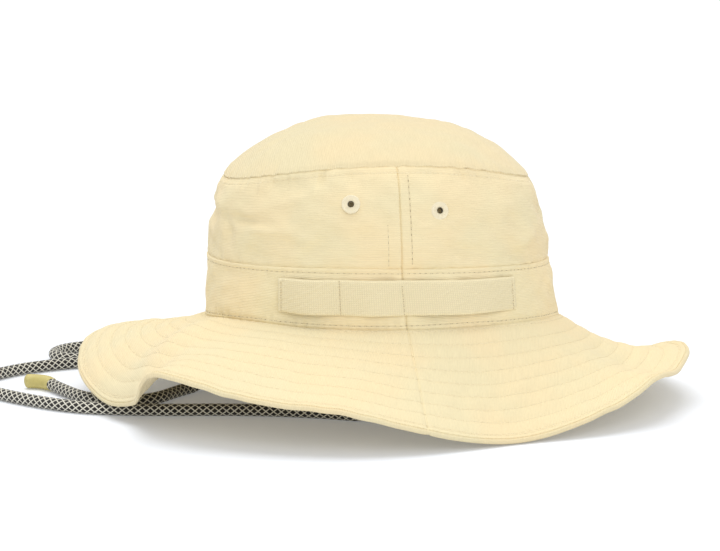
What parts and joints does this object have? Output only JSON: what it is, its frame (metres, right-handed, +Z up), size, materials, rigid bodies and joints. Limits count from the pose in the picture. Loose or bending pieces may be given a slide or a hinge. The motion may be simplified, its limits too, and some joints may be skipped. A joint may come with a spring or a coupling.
{
  "type": "boonie hat",
  "caption": "Soft wide-brimmed cloth sun hat with a quilted wavy brim, side branch loops, sewn ventilation eyelets and a braided chin cord with a cord lock.",
  "frame": {"origin": "centre of the hat's footprint without its cords, on the ground under the lowest points of the brim", "axes": "+X to the front of the hat, +Y to the wearer's left, +Z up; the hat stands on its brim"},
  "size_m": [0.4142, 0.3261, 0.1627],
  "materials": {
    "cream_canvas": "fine-ribbed cotton canvas, matt",
    "under_brim_canvas": "fine-ribbed cotton canvas, matt",
    "interlining": "felted non-woven sheet, matt",
    "sweatband_twill": "cotton twill, matt",
    "seam_tape": "plain-woven tape, matt",
    "webbing": "grid-woven webbing, matt",
    "sewing_thread": "spun thread, matt",
    "braided_cord": "round braid, black with cream diamonds",
    "cord_tip_rubber": "soft moulded, satin, fine rings",
    "lock_plastic": "satin moulded",
    "spring_steel": "drawn wire"
  },
  "bodies": {
    "hat": {"crown_tip": "cream_canvas", "crown_wall_front": "cream_canvas", "crown_wall_rear": "cream_canvas", "hat_band_front": "cream_canvas", "hat_band_rear": "cream_canvas", "upper_brim_front": "cream_canvas", "upper_brim_rear": "cream_canvas", "under_brim_front": "under_brim_canvas", "under_brim_rear": "under_brim_canvas", "brim_interlining_front": "interlining", "brim_interlining_rear": "interlining", "sweatband": "sweatband_twill", "band_seam_tape": "seam_tape", "tip_seam_tape": "seam_tape", "side_seam_tape_right": "seam_tape", "side_seam_tape_left": "seam_tape", "branch_webbing_right": "webbing", "branch_webbing_left": "webbing", "cord_anchor_right": "webbing", "cord_anchor_left": "webbing", "bar_tacks_right": "sewing_thread", "bar_tacks_left": "sewing_thread", "eyelet_right_front": "sewing_thread", "eyelet_right_rear": "sewing_thread", "eyelet_left_front": "sewing_thread", "eyelet_left_rear": "sewing_thread", "cord_right": "braided_cord", "cord_left": "braided_cord", "cord_tip_right": "cord_tip_rubber", "cord_tip_left": "cord_tip_rubber"},
    "lock_housing": {"lock_body": "lock_plastic", "lock_spring": "spring_steel"},
    "lock_plunger": {"lock_button": "lock_plastic"}
  },
  "joints": [
    {"name": "lock_slide", "type": "slide", "parent": "hat", "child": "lock_housing", "axis": [0, 1, 0], "range_m": [-0.007, 0.007]},
    {"name": "button_press", "type": "slide", "parent": "lock_housing", "child": "lock_plunger", "axis": [0, 0, -1], "range_m": [0, 0.004], "stiffness_N_per_m": 900, "springref_m": -0.004, "deforming": ["lock_spring"]}
  ]
}
